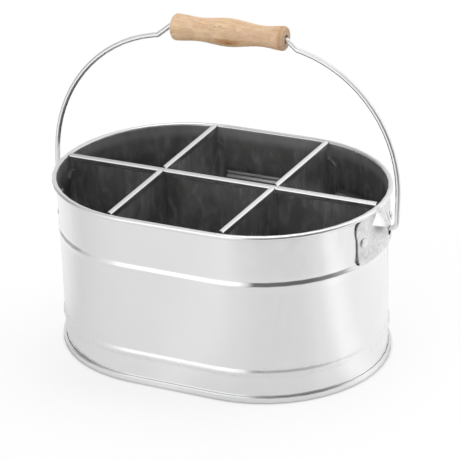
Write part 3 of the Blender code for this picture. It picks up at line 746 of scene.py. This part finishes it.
# It is darker under the seam, a painted contact shadow
CONTACT_RANGE = (SEAM_RADIUS - 3 * MM, SEAM_RADIUS + 3 * MM, 0.35, 1.0)
MIRRORED_GLOW_SHARE = 0.75
# What the camera sees of it: a glow, less a wide painted shadow and a painted shadow line at the
# seam
CAMERA_GLOW = 1.09
CAMERA_GLOW_SHARE = 0.7
SHADE_RANGE = (200 * MM, 110 * MM)
EDGE_RANGE = (SEAM_RADIUS - 0.5 * MM, SEAM_RADIUS + 1 * MM, 0.15, 0.0)

WHITE = (1, 1, 1, 1)


def ring_ramp(tree, vector, stops):
    """A level that goes by the direction in plan."""
    x, y, _ = parts_of(tree, vector)
    turn = maths(tree, "ARCTAN2", y, x)
    made = node(tree, "ShaderNodeValToRGB", {"Fac": remap(tree, turn, -math.pi, math.pi)})
    (first, first_level), *_, (last, last_level) = stops
    wrap = first + 360 - last
    seam = last_level + (first_level - last_level) * (180 - last) / wrap
    points = [(-180, seam), *stops, (180, seam)]
    most = max(level for _, level in points)
    elements = made.color_ramp.elements
    made.color_ramp.interpolation = "EASE"
    while len(elements) < len(points):
        elements.new(0.5)
    for element, (degrees, level) in zip(elements, points):
        element.position = (degrees + 180) / 360
        element.color = (*grey(level / most), 1)
    return multiply(tree, made.outputs[0], most)


def pale_floor():
    """A white sweep, nearly lit from within to the camera, so that only a soft shadow stays,
    deepened by painted shadow near the body.
    """
    material, tree, shader = new_material("pale_floor")
    shader.inputs["Base Color"].default_value = (*grey(FLOOR_ALBEDO), 1)
    shader.inputs["Roughness"].default_value = FLOOR_ROUGHNESS
    shader.inputs["Specular IOR Level"].default_value = 0.0
    place = object_place(tree)
    radius = length_of(tree, from_middle_line(tree, place))

    # Painted pools of light on the floor, which only reflections see
    near_light = ring_ramp(tree, place, FLOOR_PATCHES)
    room_light = subtract(tree, ring_ramp(tree, place, LOW_RING), near_light)
    room = remap(tree, length_of(tree, place), *ROOM_RANGE, smooth=True)
    patches = add(tree, near_light, multiply(tree, room, room_light))
    # Painted contact shadow under the seam, in what reflections see
    patches = multiply(tree, patches, remap(tree, radius, *CONTACT_RANGE, smooth=True))
    # Painted shadow near the body and along the seam, in what the camera sees
    near = remap(tree, radius, *SHADE_RANGE, smooth=True)
    shade = multiply(tree, ring_ramp(tree, place, NEAR_SHADE), near)
    edge = remap(tree, radius, *EDGE_RANGE, smooth=True)
    glow = subtract(tree, CAMERA_GLOW, shade, edge)

    def either(share, first, second):
        return node(tree, "ShaderNodeMixShader", {0: share, 1: first, 2: second}).outputs[0]

    def lit(share, strength):
        light = node(tree, "ShaderNodeEmission", {"Color": WHITE, "Strength": strength})
        return either(share, shader.outputs[0], light.outputs[0])

    path = node(tree, "ShaderNodeLightPath").outputs
    mirrored = lit(MIRRORED_GLOW_SHARE, patches)
    shown = lit(CAMERA_GLOW_SHARE, glow)
    other = either(path["Is Glossy Ray"], shader.outputs[0], mirrored)
    both = either(path["Is Camera Ray"], other, shown)
    tree.links.new(both, tree.nodes["Material Output"].inputs["Surface"])
    return material


floor_mesh = bpy.data.meshes.new("floor")
corners = [(x * FLOOR_HALF, y * FLOOR_HALF, 0) for x, y in ((-1, -1), (1, -1), (1, 1), (-1, 1))]
floor_mesh.from_pydata(corners, [], [(0, 1, 2, 3)])
floor = bpy.data.objects.new("floor", floor_mesh)
floor.location.z = -FLOOR_DROP
bpy.context.scene.collection.objects.link(floor)
floor_mesh.materials.append(pale_floor())


# Light: a room with white and dark sides, and a soft box overhead

HIGH_RING_FROM, HIGH_RING_TO = math.radians(24), math.radians(40)
SOFT_BOX_FROM, SOFT_BOX_TO = math.radians(66), math.radians(76)
SOFT_BOX_LEVEL = 1.4


def studio_world():
    """The low ring, the high ring above it and the soft box; the camera sees plain white."""
    world = bpy.data.worlds.new("studio")
    world.use_nodes = True
    tree = world.node_tree
    tree.nodes.clear()
    way = node(tree, "ShaderNodeTexCoord").outputs["Generated"]
    height = parts_of(tree, way)[2]
    low = ring_ramp(tree, way, LOW_RING)
    high = ring_ramp(tree, way, HIGH_RING)
    rise = remap(tree, height, math.sin(HIGH_RING_FROM), math.sin(HIGH_RING_TO), smooth=True)
    level = add(tree, low, multiply(tree, rise, subtract(tree, high, low)))
    box_range = (math.sin(SOFT_BOX_FROM), math.sin(SOFT_BOX_TO), 0, SOFT_BOX_LEVEL)
    level = add(tree, level, remap(tree, height, *box_range, smooth=True))
    glow = node(tree, "ShaderNodeBackground", {"Color": WHITE, "Strength": level})
    plain = node(tree, "ShaderNodeBackground", {"Color": WHITE, "Strength": 1.0})
    camera_ray = node(tree, "ShaderNodeLightPath").outputs["Is Camera Ray"]
    both = {0: camera_ray, 1: glow.outputs[0], 2: plain.outputs[0]}
    shown = node(tree, "ShaderNodeMixShader", both).outputs[0]
    node(tree, "ShaderNodeOutputWorld", {"Surface": shown})
    bpy.context.scene.world = world


studio_world()


# Camera, at the photo's place. Lengths in the picture are in pixels.

PHOTO_SIZE = 460
FOCAL_LENGTH = 2159.766
LENS_AXIS_ACROSS = 228.121
LENS_AXIS_DOWN = 254.062
CAMERA_AZIMUTH = math.radians(25.806)
CAMERA_ELEVATION = math.radians(25.543)
CAMERA_ROLL = math.radians(-1.907)
CAMERA_TARGET = Vector((3.37, 1.892, 76.137)) * MM
CAMERA_DISTANCE = 1789.772 * MM
SENSOR_WIDTH = 36
CLIP_START = 0.05
CLIP_END = 50


def photo_camera():
    level = math.cos(CAMERA_ELEVATION)
    back = Vector(
        (
            math.sin(CAMERA_AZIMUTH) * level,
            -math.cos(CAMERA_AZIMUTH) * level,
            math.sin(CAMERA_ELEVATION),
        )
    )
    right = Vector((0, 0, 1)).cross(back).normalized()
    up = back.cross(right)
    rolled_right = right * math.cos(CAMERA_ROLL) + up * math.sin(CAMERA_ROLL)
    rolled_up = up * math.cos(CAMERA_ROLL) - right * math.sin(CAMERA_ROLL)
    turn = Matrix((rolled_right, rolled_up, back)).transposed().to_4x4()
    data = bpy.data.cameras.new("camera")
    data.sensor_width = SENSOR_WIDTH
    data.lens = FOCAL_LENGTH / PHOTO_SIZE * SENSOR_WIDTH
    data.shift_x = (PHOTO_SIZE / 2 - LENS_AXIS_ACROSS) / PHOTO_SIZE
    data.shift_y = (LENS_AXIS_DOWN - PHOTO_SIZE / 2) / PHOTO_SIZE
    data.clip_start = CLIP_START
    data.clip_end = CLIP_END
    camera = bpy.data.objects.new("camera", data)
    camera.matrix_world = Matrix.Translation(CAMERA_TARGET + back * CAMERA_DISTANCE) @ turn
    bpy.context.scene.collection.objects.link(camera)
    bpy.context.scene.camera = camera


photo_camera()
bpy.context.scene.view_settings.view_transform = "Standard"
